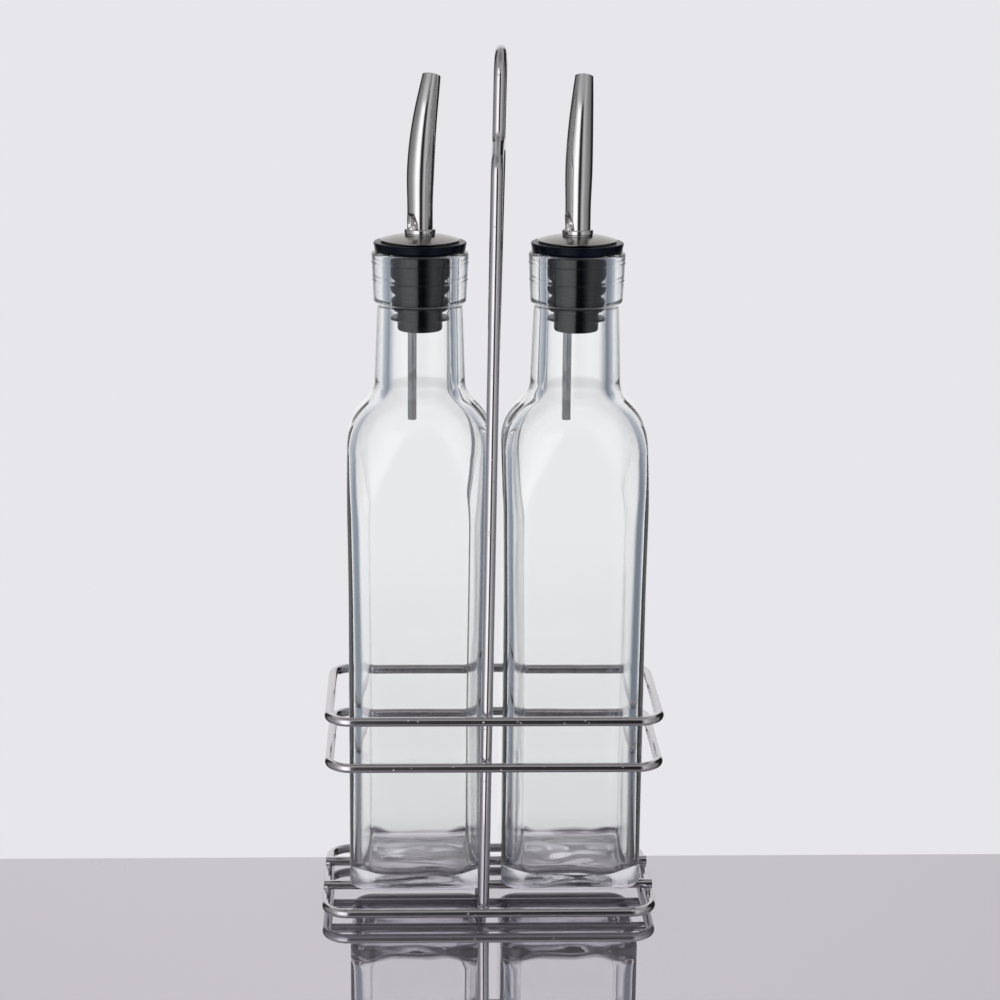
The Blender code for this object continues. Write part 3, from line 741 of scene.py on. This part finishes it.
def square_ring(half, corner, height, facets):
    """A square with rounded corners. corner is the radius over the half width; 1 is a circle."""
    flat = half * (1 - corner)
    radius = half * corner
    points = []
    for k in range(facets):
        turn = FULL_TURN * k / facets
        c, s = math.cos(turn), math.sin(turn)
        big, small = max(abs(c), abs(s)), min(abs(c), abs(s))
        reach = half / big
        if reach * small > flat:
            middle = flat * (abs(c) + abs(s))
            reach = middle + math.sqrt(max(middle * middle - 2 * flat * flat + radius * radius, 0.0))
        points.append(Vector((reach * c, reach * s, height)))
    return points


def shoulder_rings(curve, corner, foot, top):
    """Adds the corner to a shoulder's curve: square at the body, round at the neck."""
    return [(x, z, corner + (1 - corner) * blend_range(z, foot, top)) for x, z in curve]


def outside_outline(glass, height):
    """(half width, height, corner) of the bottle's outside, from the middle of the base to the rim."""
    corner = glass.corner
    rest = glass.body_half - glass.base_round
    hollow = rest - glass.rim_width
    base = [(hollow * share, glass.push_up * (1 - share ** 3), 1 - (1 - HOLLOW_CORNER) * share ** 2)
            for share in between(POLE, 1.0, 20)]
    base += [(x, 0.0, HOLLOW_CORNER + (corner - HOLLOW_CORNER) * blend_range(x, hollow, rest))
             for x in between(hollow, rest, 8)[1:]]
    foot = [(x, z, corner) for x, z in arc((rest, glass.base_round), glass.base_round, -90, 0, 14)[1:]]
    swell = glass.shoulder_half - glass.body_half
    body = [(glass.body_half + swell * blend_range(z, glass.waist, glass.body_top), z)
            for z in between(glass.base_round, glass.body_top, 60)[1:-1]]
    curve = bezier((glass.shoulder_half, glass.body_top),
                   (glass.shoulder_half, glass.body_top + glass.shoulder_reach),
                   (glass.neck_foot_radius, glass.neck_foot - glass.neck_reach),
                   (glass.neck_foot_radius, glass.neck_foot), 40)
    body = shoulder_rings(body + curve, corner, glass.shoulder_start, glass.neck_foot)
    neck = [(glass.neck_foot_radius + (glass.neck_top_radius - glass.neck_foot_radius) * share,
             glass.neck_foot + (glass.neck_top - glass.neck_foot) * share, 1.0)
            for share in between(0.0, 1.0, 16)[1:]]
    return base + foot + body + neck + finish_outline(glass, height)


def finish_outline(glass, height):
    """The band round the bottle's mouth: a rounded lower edge, two mould seams and the lip."""
    step, top, lip = glass.finish_foot_radius, glass.finish_top_radius, glass.lip_round
    start = glass.neck_top + STEP_HEIGHT
    under = arc((step - STEP_ROUND, start), STEP_ROUND, -80, 0, 8)
    side = []
    for share in between(0.0, 1.0, 84)[1:]:
        z = start + (height - lip - start) * share
        ridge = sum(math.exp(-((z - line) / glass.seam) ** 2)
                    for line in (glass.seam_low, glass.seam_high))
        side.append((step + (top - step) * share + glass.seam * ridge, z))
    over = arc((top - lip, height - lip), lip, 0, 90, 10)[1:]
    return [(x, z, 1.0) for x, z in under + side + over]


def inside_outline(glass, height):
    """The same for the inside, from the rim down to the middle of the floor."""
    half = glass.body_half - glass.wall
    wide = half + glass.shoulder_half - glass.body_half
    corner, soft, mouth_round = glass.inner_corner, glass.floor_round, glass.mouth_round
    foot, neck_foot = glass.body_top - INSIDE_DROP, glass.neck_foot - INSIDE_DROP / 2
    mouth = [(x, z, 1.0)
             for x, z in arc((glass.bore + mouth_round, height - mouth_round), mouth_round, 90, 180, 8)]
    throat = [(glass.bore, z, 1.0) for z in between(height - mouth_round, glass.neck_top, 16)[1:]]
    flare = glass.neck_bore - glass.bore
    neck = [(glass.bore + flare * blend_range(-z, -glass.neck_top, -neck_foot), z, 1.0)
            for z in between(glass.neck_top, neck_foot, 20)[1:-1]]
    curve = bezier((glass.neck_bore, neck_foot),
                   (glass.neck_bore, neck_foot - glass.neck_reach - INSIDE_PULL),
                   (wide, foot + glass.shoulder_reach + INSIDE_PULL), (wide, foot), 40)
    body = [(half + (wide - half) * blend_range(z, INSIDE_WAIST, foot), z)
            for z in between(foot, glass.floor + soft, 56)[1:]]
    body = shoulder_rings(curve + body, corner, glass.shoulder_start, neck_foot)
    edge = half - soft
    turn = [(x, z, corner + FLOOR_CORNER * blend_range(-z, -glass.floor - soft, -glass.floor))
            for x, z in arc((edge, glass.floor + soft), soft, 0, -90, 18)[1:]]
    floor = [(edge * share, glass.floor, 1 + (corner + FLOOR_CORNER - 1) * share)
             for share in between(1.0, POLE, 18)[1:]]
    return mouth + throat + neck + body + turn + floor


def waved(ring, amount, salt):
    """Moves a ring's points in and out by a smooth noise, for the unevenness of pressed glass."""
    result = []
    for point in ring:
        outward = Vector((point.x, point.y, 0.0))
        swell = noise.noise(Vector((point.x * 28, point.y * 28, point.z * 13 + salt)))
        fine = noise.noise(Vector((point.x * 60, point.y * 60, point.z * 38 - salt)))
        result.append(point + outward.normalized() * amount * (swell + 0.15 * fine))
    return result


def uneven_floor(point, glass, salt):
    """How much a point of the floor inside is lifted."""
    lift = noise.noise(Vector((point.x * 95, point.y * 95, salt)))
    away = (point.x ** 2 + point.y ** 2) / CROWN_REACH ** 2
    return glass.floor_wave * lift + glass.floor_crown * (1 - away)


def bottle_mesh(side, glass):
    """One closed skin: up the outside, over the lip and down the inside."""
    low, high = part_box("bottle_" + side)
    height = high.z - low.z
    place = axis_of("bottle_" + side) + Vector((0.0, 0.0, low.z))
    salt = SALTS[side]
    outside, inside = [], []
    for half, z, corner in outside_outline(glass, height):
        share = blend_range(z, *WAVES_START) * (1 - blend_range(z, *OUTER_WAVES_END))
        ring = square_ring(half, corner, z, glass.facets)
        outside.append(waved(ring, OUTER_SHARE * glass.wave * share, salt))
    for half, z, corner in inside_outline(glass, height):
        share = 1 - (1 - NECK_SHARE) * blend_range(z, *INNER_WAVES_END)
        amount = 0.0 if z > glass.neck_top - PLAIN_BORE else share * glass.wave
        inside.append(waved(square_ring(half, corner, z, glass.facets), amount, salt + 3.0))
    for ring in inside:
        for point in ring:
            if point.z < glass.floor + UNEVEN_HEIGHT:
                point.z += uneven_floor(point, glass, salt)
    rings = [[point + place for point in ring] for ring in outside + inside]
    return loft_mesh("bottle_" + side + "_glass", rings, False)


class CRUET_OT_bottles(bpy.types.Operator):
    """Blows the two square glass bottles"""
    bl_idname = "cruet.bottles"
    bl_label = "Glass Bottles"

    def execute(self, context):
        glass = context.scene.cruet_bottles
        clear = glass_finish(tuple(glass.tint), tuple(glass.foot_painted_shade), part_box("bottle_left")[0].z)
        for side in SIDES:
            show("bottle_" + side + "_glass", bottle_mesh(side, glass), clear, "bottle_" + side,
                 ["bottle_" + side])
        return {"FINISHED"}


# Stoppers

# Sealing fins: how far under the flange each starts and ends, and how much smaller it is
FINS = ((0.0002, 0.0090, 0.0), (0.0100, 0.0136, 0.0), (0.0150, 0.0184, 0.0004))


def stopper_profile(rubber, plug_length):
    """Closed (radius, height) outline of the rubber, heights from the flange's underside."""
    top, fin, groove, plug = rubber.flange, rubber.fin_radius, rubber.groove_radius, rubber.plug_radius
    bottom, edge, soft, blunt = rubber.flange_foot_radius, rubber.flange_round, rubber.soft, rubber.blunt
    rim = rubber.flange_top_radius - edge
    flange = [(rubber.bore, top - soft), (rubber.bore + soft, top)]
    flange += [(radius, top) for radius in between(rubber.bore + 2 * edge, rim, 6)]
    flange += arc((rim, top - edge), edge, 80, 0, 8)
    flange += [(bottom + (rim + edge - bottom) * share, top * share) for share in (0.6, 0.35, 0.15)]
    flange += arc((bottom - blunt, blunt), blunt, 0, -90, 6)
    fins = [(fin + 0.0002, 0.0)]
    for start, end, less in FINS:
        reach = fin - less
        fins += arc((reach - soft, -start - soft), soft, 90, 0, 5)
        fins += [(reach, rubber.fin_bevel - end), (reach - 0.0002, 0.0012 - end)]
        fins += [(reach - 0.0008, blunt - end), (groove + soft, -end)]
        fins += [(groove, -end - soft), (groove, -end - 0.0007)]
    ledge = -rubber.last_fin
    step = [(groove, ledge + 0.0028), (plug + 0.0002, ledge + 0.0024), (plug, ledge + 0.0019)]
    thin = [(plug, ledge + soft), (plug + soft, ledge), (fin - blunt, ledge)]
    thin += arc((fin - blunt, ledge - blunt), blunt, 90, -60, 7)
    thin += [(plug + 0.0006, ledge - 0.0014), (plug, ledge - 0.0020)]
    end_round = 2 * edge
    foot = [(plug, end_round + 0.0002 - plug_length)]
    foot += arc((plug - end_round, end_round - plug_length), end_round, 0, -90, 7)
    return flange + fins + step + thin + foot + [(rubber.bore, -plug_length)]


class CRUET_OT_stoppers(bpy.types.Operator):
    """Moulds the two rubber stoppers"""
    bl_idname = "cruet.stoppers"
    bl_label = "Rubber Stoppers"

    def execute(self, context):
        rubber = context.scene.cruet_stoppers
        black = rubber_finish(tuple(rubber.rubber))
        for side in SIDES:
            low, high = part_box("stopper_" + side)
            place = axis_of("stopper_" + side) + Vector((0.0, 0.0, high.z - rubber.flange))
            plug_length = high.z - rubber.flange - low.z
            rings = [[p + place for p in ring_of(r, z, rubber.facets)]
                     for r, z in stopper_profile(rubber, plug_length)]
            name = "stopper_" + side + "_rubber"
            show(name, loft_mesh(name, rings, True), black, "stopper_" + side,
                 ["stopper_" + side])
        return {"FINISHED"}


# Pourers

def spout_line(steel, height):
    """How far out, how high and how tilted the spout is at a distance up its centre line."""
    bent = min(max(height - steel.bend_start, 0.0), steel.bend_length)
    after = max(height - steel.bend_start - steel.bend_length, 0.0)
    lean = steel.bend * bent / steel.bend_length
    radius = steel.bend_length / steel.bend
    out = radius * (1 - math.cos(lean)) + after * math.sin(lean)
    up = min(height, steel.bend_start) + radius * math.sin(lean) + after * math.cos(lean)
    return out, up, lean


def spout_width(steel, height, tip):
    """Straight below, a slight belly at the bend, then a taper to the tip."""
    if height < steel.belly_height:
        share = blend_range(height, steel.dent_top, steel.belly_height)
        return steel.spout_radius + (steel.belly_radius - steel.spout_radius) * share
    share = (height - steel.belly_height) / (tip - steel.belly_height)
    return steel.belly_radius + (steel.tip_radius - steel.belly_radius) * share ** steel.taper


def spout_section(steel, height, tip, dent_turn, facets):
    """Outline of the spout's outside in its own plane, with the pressed-in dent."""
    full = spout_width(steel, height, tip)
    depth = blend_range(-height, -steel.dent_top, -steel.dent_full) * (full - steel.dent_radius)
    narrowing = 1 - steel.dent_arch * blend_range(height, steel.dent_seat, steel.dent_top)
    flat, edge = steel.dent_turn[0] * narrowing, steel.dent_turn[1] * narrowing
    points = []
    for k in range(facets):
        turn = FULL_TURN * k / facets
        share = blend_range(-min(turn, FULL_TURN - turn), -edge, -flat)
        reach = full - depth * share
        points.append(Vector((reach * math.cos(turn + dent_turn), reach * math.sin(turn + dent_turn))))
    return points


def pulled_in(points, wall):
    """The same outline moved in by the wall, at right angles to itself."""
    result = []
    for i, point in enumerate(points):
        along = (points[(i + 1) % len(points)] - points[i - 1]).normalized()
        result.append(point - wall * Vector((along.y, -along.x)))
    return result


def spout_mesh(name, steel, place, lean_turn, breather_turn, foot):
    """The spout as a thin tube with a rounded lip."""
    tip = steel.tip
    turned = Matrix.Rotation(lean_turn, 3, "Z")
    dent_turn = breather_turn - lean_turn
    lip = 0.3 * steel.wall
    heights = between(foot, steel.dent_top, 48) + between(steel.dent_top, tip - steel.wall / 2, 72)[1:]
    heights += [tip - lip, tip - lip / 2, tip]
    outside, inside = [], []
    for height in heights:
        out, up, lean = spout_line(steel, height)
        across = Vector((math.cos(lean), 0.0, -math.sin(lean)))
        section = spout_section(steel, height, tip, dent_turn, 112)
        soft = lip * blend_range(height, tip - lip, tip)
        for rings, depth in ((outside, soft), (inside, steel.wall - soft)):
            rings.append([place + turned @ (Vector((out, p.y, up)) + across * p.x)
                          for p in pulled_in(section, depth)])
    return loft_mesh(name, outside + list(reversed(inside)), True)


def disc_profile(steel, radius, foot):
    """Closed outline of the domed disc, with a rolled edge."""
    inner = steel.spout_radius + 0.0002
    radii = between(inner, radius - 0.0004, 20)
    dome = [(r, foot + steel.dome * (1 - (r / radius) ** 2.4)) for r in radii]
    edge = arc((radius - 0.00028, foot + 0.00032), 0.00028, -90, 80, 10)
    top = [(r, z + steel.sheet) for r, z in reversed(dome)]
    return dome + edge + top


def collar_profile(steel, foot, top):
    """Closed outline of the rolled collar that grips the spout."""
    grip = steel.spout_radius - 0.00005
    outer = steel.collar_radius
    bead = (top - foot) / 2
    side = arc((outer - 0.0005, foot + 0.0005), 0.0005, -90, 0, 6)
    crown = arc((outer - 0.0004, top - 0.0004), 0.0004, 0, 90, 6)
    waist = [(outer + 0.00004, foot + bead)]
    return [(grip, foot)] + side + waist + crown + [(grip, top)]


def tube_profile(outer, inner, foot, top):
    """Closed outline of a plain tube with slightly rounded ends."""
    soft = 0.0001
    return [(inner, foot + soft), (inner, top - soft), (inner + soft, top), (outer - soft, top),
            (outer, top - soft), (outer, foot + soft), (outer - soft, foot), (inner + soft, foot)]


def turned_mesh(name, profile, place, facets):
    """A round piece from its closed outline."""
    return loft_mesh(name, [[p + place for p in ring_of(r, z, facets)] for r, z in profile], True)


class CRUET_OT_pourers(bpy.types.Operator):
    """Forms the steel disc, collar, spout and breather tube of both pourers"""
    bl_idname = "cruet.pourers"
    bl_label = "Steel Pourers"

    def execute(self, context):
        steel = context.scene.cruet_pourers
        polished = polished_finish(tuple(steel.polished))
        for k, side in enumerate(SIDES):
            place = axis_of("sleeve_" + side)
            body = "pourer_" + side
            satin = satin_finish("satin_steel_" + side, tuple(steel.satin), place)
            low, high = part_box("cap_disc_" + side)
            name = "cap_disc_" + side + "_steel"
            show(name, turned_mesh(name, disc_profile(steel, (high.x - low.x) / 2, low.z), place, 160),
                 satin, body, ["cap_disc_" + side])
            sleeve_low, sleeve_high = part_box("sleeve_" + side)
            collar_foot = low.z + steel.dome + 0.0003
            name = "collar_" + side + "_steel"
            show(name, turned_mesh(name, collar_profile(steel, collar_foot, sleeve_high.z), place, 128),
                 polished, body, ["sleeve_" + side])
            name = "sleeve_" + side + "_steel"
            tube = tube_profile(steel.sleeve_radius, steel.sleeve_bore, sleeve_low.z,
                                collar_foot + steel.wall)
            show(name, turned_mesh(name, tube, place, 96), polished, body, [])
            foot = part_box("spout_" + side)[0]
            name = "spout_" + side + "_steel"
            mesh = spout_mesh(name, steel, place, steel.lean_turn[k], steel.breather_turn[k], foot.z)
            show(name, mesh, polished, body, ["spout_" + side])
            low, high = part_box("breather_tube_" + side)
            turn = steel.breather_turn[k]
            aside = steel.breather_offset * Vector((math.cos(turn), math.sin(turn), 0.0))
            name = "breather_tube_" + side + "_steel"
            tube = tube_profile(steel.breather_radius, steel.breather_bore, low.z, high.z)
            plain = satin_finish("satin_steel_tube_" + side, tuple(steel.plain), place + aside)
            show(name, turned_mesh(name, tube, place + aside, 64), plain, body,
                 ["breather_tube_" + side])
        return {"FINISHED"}


# Studio

# Brightness round the set, by degrees from the front to the right: what gloss sees in the distance
MIRRORED = (
    (-180, 0.92), (-157, 0.86), (-147, 0.03), (-128, 0.04), (-112, 0.26), (-92, 0.31), (-72, 0.42),
    (-60, 0.62), (-50, 0.92), (-42, 1.30), (-30, 1.62), (-13, 1.45), (-7, 1.00), (-3, 0.08), (4, 0.03),
    (13, 0.03), (18, 0.10), (25, 0.50), (32, 0.72), (44, 0.58), (58, 0.40), (95, 0.24), (105, 0.10),
    (113, 0.02), (147, 0.02), (157, 0.80), (180, 0.92),
)
# and what is seen through the glass
REFRACTED = (
    (-180, 0.96), (-158, 0.96), (-143, 0.50), (-122, 0.30), (-85, 0.28), (-62, 0.34), (-12, 0.32),
    (-3, 0.02), (12, 0.01), (22, 0.16), (60, 0.16), (85, 0.20), (122, 0.22), (143, 0.48), (158, 0.96),
    (180, 0.96),
)
# Tint of the dark surround that shows in the glass's edges
COOL = (0.78, 0.96, 1.20)
# Sine of the elevation and brightness of the soft light overhead
OVERHEAD = ((0.75, 0.50), (0.9, 0.40), (0.98, 0.26))
# Brightness straight below, and how much of the light is left that glass shows from low down
UNDER = 0.30
SUNK = 0.80
# Sines of the elevation between which each of these takes over
OVERHEAD_START = (0.62, 0.74)
UNDER_START = (-0.80, -0.66)
SUNK_START = (-0.42, -0.24)


def mix_tint(tint, level):
    """The tint fades out towards the bright end."""
    return tuple(channel + (1 - channel) * min(level, 1.0) for channel in tint)


def studio_world(tree, way):
    """Soft boxes and black flags for gloss, and a paler surround for what is seen through glass."""
    parts = add_node(tree, "ShaderNodeSeparateXYZ", {"Vector": way}).outputs
    front = add_node(tree, "ShaderNodeMath", {0: parts["Y"], 1: -1.0}, operation="MULTIPLY")
    turn = add_node(tree, "ShaderNodeMath", {0: parts["X"], 1: front.outputs["Value"]},
                    operation="ARCTAN2")
    share = add_node(tree, "ShaderNodeMath", {0: turn.outputs["Value"], 1: 1 / FULL_TURN, 2: 0.5},
                     operation="MULTIPLY_ADD")
    overhead = grey_ramp(tree, parts["Z"], OVERHEAD)
    high = soft_step(tree, parts["Z"], *OVERHEAD_START)
    low = soft_step(tree, parts["Z"], *UNDER_START)
    seen = []
    for stops, tint in ((MIRRORED, (1.0, 1.0, 1.0)), (REFRACTED, COOL)):
        level = tint_ramp(tree, share.outputs["Value"],
                          [(degrees / 360 + 0.5, scaled(mix_tint(tint, value), value))
                           for degrees, value in stops])
        seen.append(mixed(tree, low, (UNDER, UNDER, UNDER, 1.0), mixed(tree, high, level, overhead)))
    mirrored, refracted = seen
    sunk = soft_step(tree, parts["Z"], *SUNK_START)
    dimmed = add_node(tree, "ShaderNodeMix", {0: 1.0, 6: refracted, 7: (SUNK, SUNK, SUNK, 1.0)},
                      data_type="RGBA", blend_type="MULTIPLY").outputs[2]
    return mirrored, mixed(tree, sunk, dimmed, refracted)


class CRUET_OT_studio(bpy.types.Operator):
    """Sets the table, the soft light and the camera"""
    bl_idname = "cruet.studio"
    bl_label = "Studio"

    def execute(self, context):
        studio = context.scene.cruet_studio
        self.add_table(studio)
        self.add_camera(studio)
        self.add_light(studio)
        context.scene.view_settings.view_transform = "Standard"
        return {"FINISHED"}

    def add_table(self, studio):
        """A silvered glass table: its mirror lies a little below the set."""
        left, right = -studio.table_half_width, studio.table_half_width
        front, back, level = -studio.table_front, studio.table_back, -studio.table_glass
        corners = [(left, front, level), (right, front, level), (right, back, level), (left, back, level)]
        mesh = bpy.data.meshes.new("table")
        mesh.from_pydata(corners, [], [(0, 1, 2, 3)])
        material = start_finish("mirror_table", Base_Color=(*studio.table_tone, 1.0), Roughness=0.01,
                                Metallic=studio.table_silver)[0]
        mesh.materials.append(material)
        table = bpy.data.objects.new("table", mesh)
        bpy.context.scene.collection.objects.link(table)

    def add_camera(self, studio):
        """Looks at the set from the front, a little from above."""
        data = bpy.data.cameras.new("camera")
        data.lens = studio.lens
        camera = bpy.data.objects.new("camera", data)
        pitch, roll, turn = studio.camera_turn
        aim = (Matrix.Rotation(-turn, 4, "Z") @ Matrix.Rotation(math.pi / 2 - pitch, 4, "X")
               @ Matrix.Rotation(roll, 4, "Z"))
        camera.matrix_world = Matrix.Translation(studio.camera_place) @ aim
        bpy.context.scene.collection.objects.link(camera)
        bpy.context.scene.camera = camera

    def add_light(self, studio):
        """Pale to the eye and to matt surfaces, with the soft boxes and flags for gloss and glass."""
        world = bpy.data.worlds.new("studio")
        bpy.context.scene.world = world
        world.use_nodes = True
        tree = world.node_tree
        background = tree.nodes["Background"]
        rays = add_node(tree, "ShaderNodeLightPath").outputs
        way = add_node(tree, "ShaderNodeTexCoord").outputs["Generated"]
        mirrored, refracted = studio_world(tree, way)
        distant = mixed(tree, rays["Is Transmission Ray"], mirrored, refracted)
        matt = add_node(tree, "ShaderNodeMath", {0: rays["Is Camera Ray"], 1: rays["Is Diffuse Ray"]},
                        operation="MAXIMUM")
        plain = mixed(tree, rays["Is Camera Ray"], (1.0, 1.0, 1.0, 1.0), (*studio.pale, 1.0))
        seen = mixed(tree, matt.outputs["Value"], distant, plain)
        tree.links.new(seen, background.inputs["Color"])
        background.inputs["Strength"].default_value = 1.0


# Panel and registration

class CRUET_PT_panel(bpy.types.Panel):
    """Lists the pieces of the cruet set with their sizes"""
    bl_idname = "CRUET_PT_panel"
    bl_label = "Cruet Set"
    bl_space_type = "VIEW_3D"
    bl_region_type = "UI"
    bl_category = "Cruet Set"

    def draw(self, context):
        for operator, settings in STEPS:
            box = self.layout.box()
            box.operator(operator.bl_idname)
            group = getattr(context.scene, settings)
            for name in group.bl_rna.properties.keys():
                if name not in ("rna_type", "name"):
                    box.prop(group, name)


GROUPS = {
    "cruet_studio": StudioSettings,
    "cruet_rack": RackSettings,
    "cruet_bottles": BottleSettings,
    "cruet_stoppers": StopperSettings,
    "cruet_pourers": PourerSettings,
}
STEPS = (
    (CRUET_OT_studio, "cruet_studio"),
    (CRUET_OT_rack, "cruet_rack"),
    (CRUET_OT_bottles, "cruet_bottles"),
    (CRUET_OT_stoppers, "cruet_stoppers"),
    (CRUET_OT_pourers, "cruet_pourers"),
)
CLASSES = (*GROUPS.values(), *(operator for operator, _ in STEPS), CRUET_PT_panel)


def register():
    for cls in CLASSES:
        bpy.utils.register_class(cls)
    for name, group in GROUPS.items():
        setattr(bpy.types.Scene, name, PointerProperty(type=group))


def unregister():
    for name in GROUPS:
        delattr(bpy.types.Scene, name)
    for cls in reversed(CLASSES):
        bpy.utils.unregister_class(cls)


def main():
    register()
    bpy.ops.cruet.studio()
    bpy.ops.cruet.rack()
    bpy.ops.cruet.bottles()
    bpy.ops.cruet.stoppers()
    bpy.ops.cruet.pourers()


if __name__ == "__main__":
    main()
